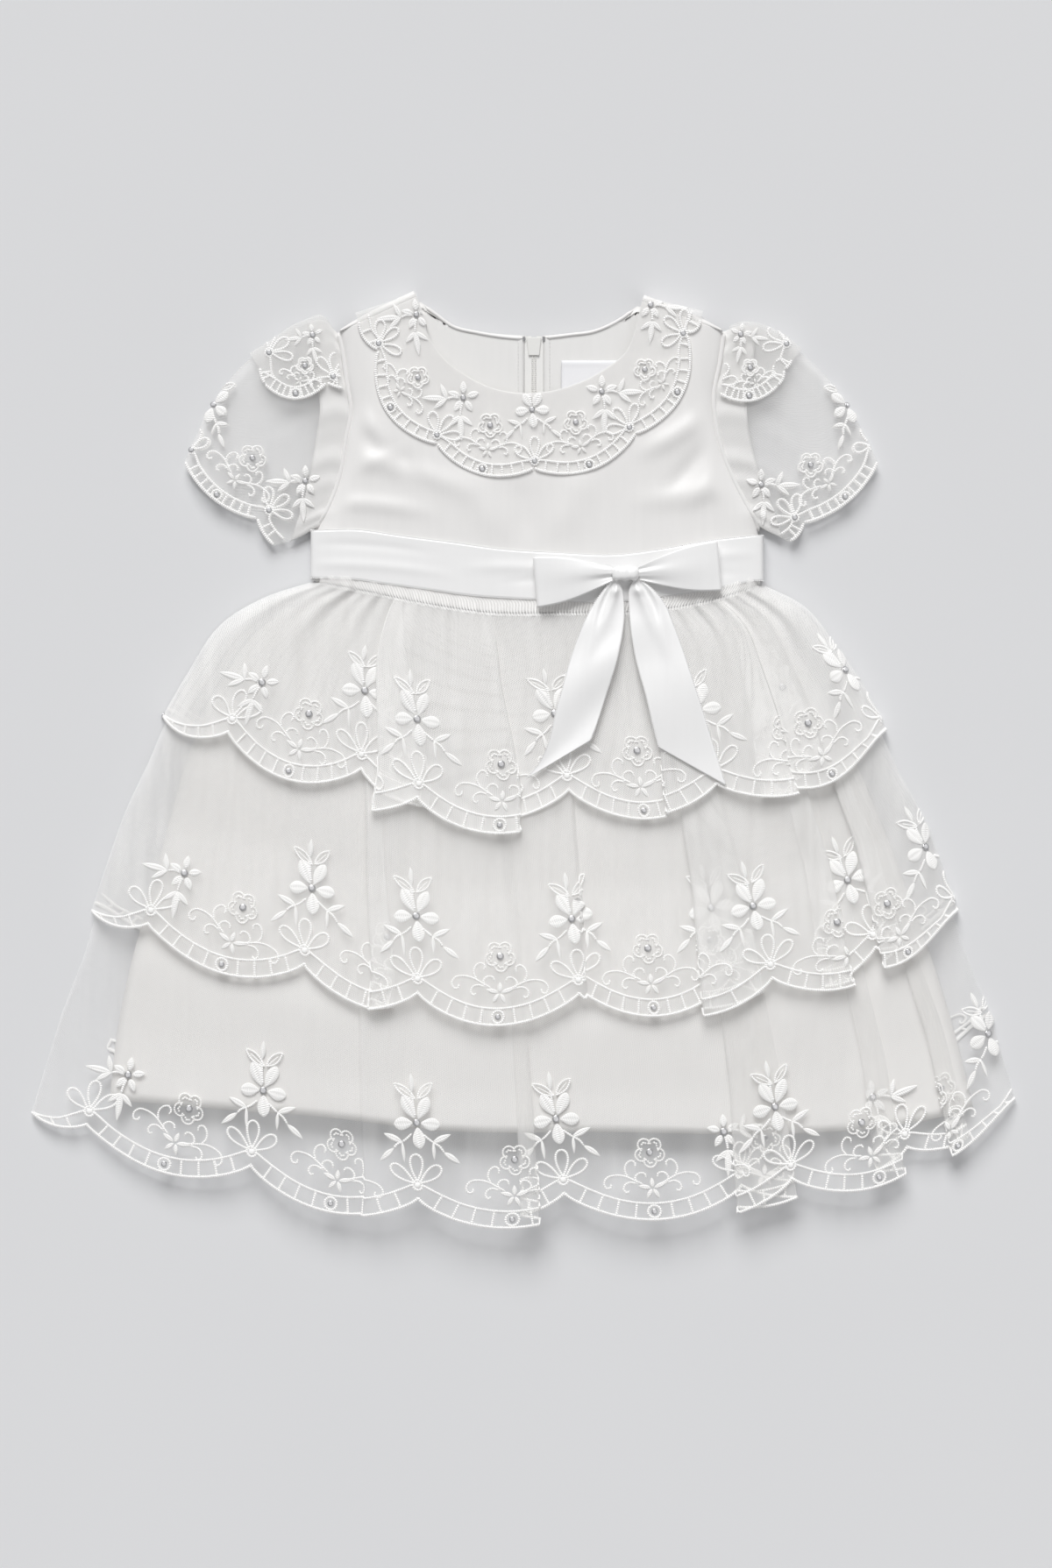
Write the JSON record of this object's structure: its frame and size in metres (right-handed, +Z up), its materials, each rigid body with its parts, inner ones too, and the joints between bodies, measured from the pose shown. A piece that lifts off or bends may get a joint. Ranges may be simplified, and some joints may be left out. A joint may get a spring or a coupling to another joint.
{
  "type": "christening gown",
  "caption": "Short-sleeved baby gown laid flat: satin bodice, wrapped scalloped collar, puff sleeves, ribbon sash with bow, tiered tulle skirt over a lining, back zip.",
  "frame": {"origin": "on the surface the gown lies on, under the middle of its outline", "axes": "+X towards the wearer's left sleeve, +Y from hem to neck, +Z up from the surface out of the gown's front"},
  "size_m": [0.5379, 0.5095, 0.0215],
  "materials": {
    "satin": "white satin with a soft sheen",
    "lining": "warm white satin lining",
    "tulle": "sheer white net, embroidered along the hem",
    "ribbon": "double-face satin ribbon with a picot edge",
    "zip": "white concealed zip",
    "metal": "bright metal",
    "label": "blank white woven label"
  },
  "bodies": {
    "gown": {"bodice_front": "satin", "bodice_back_left": "satin", "bodice_back_right": "satin", "neck_lining_left": "lining", "neck_lining_right": "lining", "skirt_lining_front": "lining", "skirt_lining_back": "lining", "tier_top_front": "tulle", "tier_top_back": "tulle", "tier_middle_front": "tulle", "tier_middle_back": "tulle", "tier_bottom_front": "tulle", "tier_bottom_back": "tulle", "sleeve_left": "tulle", "sleeve_right": "tulle", "sleeve_cap_left": "tulle", "sleeve_cap_right": "tulle", "collar": "tulle", "sash": "ribbon", "bow_loop_left": "ribbon", "bow_loop_right": "ribbon", "bow_knot": "ribbon", "bow_tail_left": "ribbon", "bow_tail_right": "ribbon", "zip_tape": "zip", "zip_slider": "zip", "zip_stop_left": "metal", "zip_stop_right": "metal", "neck_label": "label"},
    "zip_pull": {"zip_pull": "metal"}
  },
  "joints": [
    {"name": "zip_pull_swing", "type": "hinge", "parent": "gown", "child": "zip_pull", "pos_m": [0.0055, 0.2242, 0.00085], "axis": [1, 0, 0], "range_deg": [0, 165]}
  ]
}
